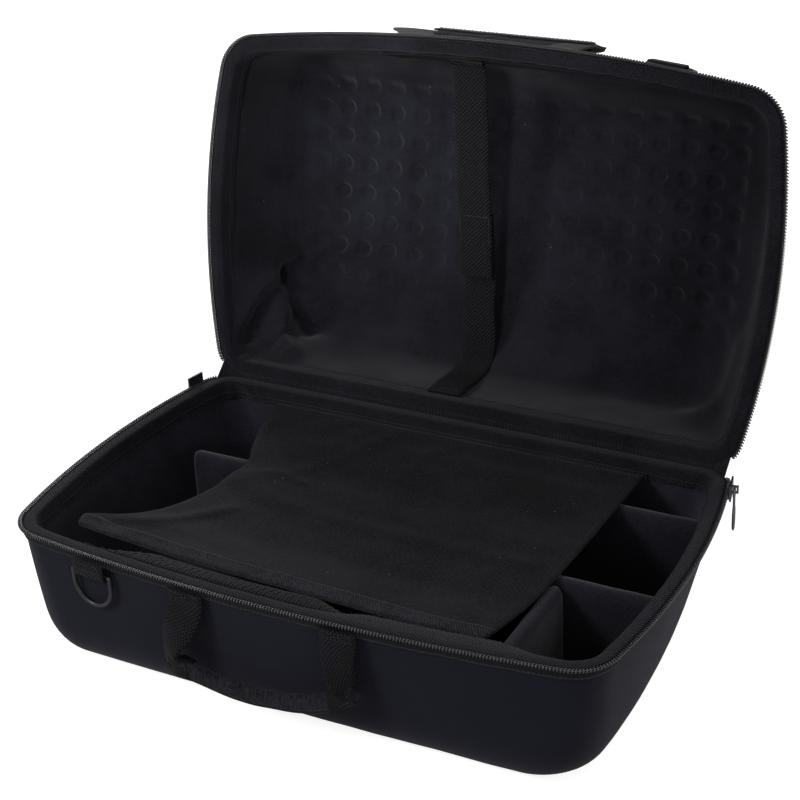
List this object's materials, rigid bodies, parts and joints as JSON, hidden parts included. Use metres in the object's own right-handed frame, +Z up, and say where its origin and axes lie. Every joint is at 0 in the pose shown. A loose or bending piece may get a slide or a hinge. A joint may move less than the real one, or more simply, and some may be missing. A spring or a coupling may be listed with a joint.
{
  "type": "padded carry case",
  "caption": "Two-part moulded soft carry case for miniatures, shown open, with padded dividers, cover flap, dimpled lid pad and strap, webbing handles, D-rings and zipper sliders.",
  "frame": {"origin": "on the floor, under the middle of the base's plan outline", "axes": "X left to right along the front, Y from the front to the hinge, Z up; the lid stands open at 103.7 degrees"},
  "size_m": [0.4232, 0.3995, 0.336],
  "materials": {
    "shell_fabric": "matte woven nylon over foam",
    "lining": "matte brushed fabric",
    "binding": "ribbed woven tape",
    "zipper_tape": "matte woven tape",
    "zipper_coil": "satin nylon coil",
    "padding": "matte brushed loop fabric over foam",
    "foam": "matte foam",
    "twill": "matte twill",
    "webbing": "ribbed nylon webbing",
    "wrap_fabric": "matte padded fabric",
    "hook_and_loop": "matte hook and loop",
    "ring_metal": "satin black",
    "slider_metal": "satin black"
  },
  "bodies": {
    "base": {"base_shell": "shell_fabric", "base_lining": "lining", "base_binding": "binding", "base_zipper_tape": "zipper_tape", "base_zipper_coil": "zipper_coil", "base_rim_webbing": "binding", "base_hinge_leaf": "zipper_tape", "hinge_roll": "zipper_tape", "floor_pad": "foam", "rear_divider": "padding", "front_divider": "padding", "left_divider": "padding", "middle_cross_divider": "padding", "right_cross_divider": "padding", "flap_seam": "twill", "base_ring_tab": "webbing", "base_handle_left_root": "webbing", "base_handle_right_root": "webbing"},
    "lid": {"lid_shell": "shell_fabric", "lid_lining": "lining", "lid_binding": "binding", "lid_zipper_tape": "zipper_tape", "lid_zipper_coil": "zipper_coil", "lid_rim_webbing": "binding", "lid_hinge_leaf": "zipper_tape", "lid_back_pad": "padding", "lid_ring_tab": "webbing", "lid_handle_left_root": "webbing", "lid_handle_right_root": "webbing", "lid_strap_anchor": "webbing", "lid_strap_lower": "webbing", "lid_strap_loop_patch": "hook_and_loop"},
    "flap": {"cover_flap": "twill", "flap_hem": "twill"},
    "front_handle": {"base_handle_left_strap": "webbing", "base_handle_right_strap": "webbing", "base_handle_grip": "webbing"},
    "front_ring": {"base_ring": "ring_metal"},
    "top_handle": {"lid_handle_webbing": "webbing", "lid_handle_wrap": "wrap_fabric"},
    "top_ring": {"lid_ring": "ring_metal"},
    "strap_upper": {"lid_strap_upper": "webbing", "lid_strap_hook_patch": "hook_and_loop"},
    "right_slider_body": {"right_slider": "slider_metal", "right_bail": "slider_metal"},
    "right_pull_body": {"right_pull": "slider_metal"},
    "left_slider_body": {"left_slider": "slider_metal", "left_bail": "slider_metal"},
    "left_pull_body": {"left_pull": "slider_metal"}
  },
  "joints": [
    {"name": "lid_hinge", "type": "hinge", "parent": "base", "child": "lid", "pos_m": [0, 0.1265, 0.088], "axis": [-1, 0, 0], "range_deg": [-103.7, 76.3]},
    {"name": "flap_lift", "type": "hinge", "parent": "base", "child": "flap", "pos_m": [0, 0.1131, 0.077], "axis": [-1, 0, 0], "range_deg": [0, 95]},
    {"name": "front_handle_swing", "type": "hinge", "parent": "base", "child": "front_handle", "pos_m": [0, -0.12725, 0.0745], "axis": [-1, 0, 0], "range_deg": [0, 90]},
    {"name": "front_ring_swing", "type": "hinge", "parent": "base", "child": "front_ring", "pos_m": [-0.13032, -0.12257, 0.0755], "axis": [-0.9962, 0.0868, 0], "range_deg": [0, 160]},
    {"name": "top_handle_swing", "type": "hinge", "parent": "lid", "child": "top_handle", "pos_m": [0, 0.19929, 0.32959], "axis": [1, 0, 0], "range_deg": [0, 90]},
    {"name": "top_ring_swing", "type": "hinge", "parent": "lid", "child": "top_ring", "pos_m": [0.1213, 0.19806, 0.32604], "axis": [0.9967, -0.0194, -0.0794], "range_deg": [0, 160]},
    {"name": "strap_release", "type": "hinge", "parent": "lid", "child": "strap_upper", "pos_m": [-0.017, 0.19493, 0.31487], "axis": [-1, 0, 0], "range_deg": [0, 70]},
    {"name": "right_slider_run", "type": "hinge", "parent": "base", "child": "right_slider_body", "pos_m": [-0.31294, -0.00567, 0.088], "axis": [0, 0, -1], "range_deg": [0, 18]},
    {"name": "left_slider_run", "type": "hinge", "parent": "base", "child": "left_slider_body", "pos_m": [0.31294, -0.00567, 0.088], "axis": [0, 0, 1], "range_deg": [0, 18]},
    {"name": "right_pull_swing", "type": "hinge", "parent": "right_slider_body", "child": "right_pull_body", "pos_m": [0.20297, 0.10444, 0.088], "axis": [0.2087, -0.978, 0], "range_deg": [0, 150]},
    {"name": "left_pull_swing", "type": "hinge", "parent": "left_slider_body", "child": "left_pull_body", "pos_m": [-0.20297, 0.10444, 0.088], "axis": [0.2087, 0.978, 0], "range_deg": [0, 150]}
  ]
}
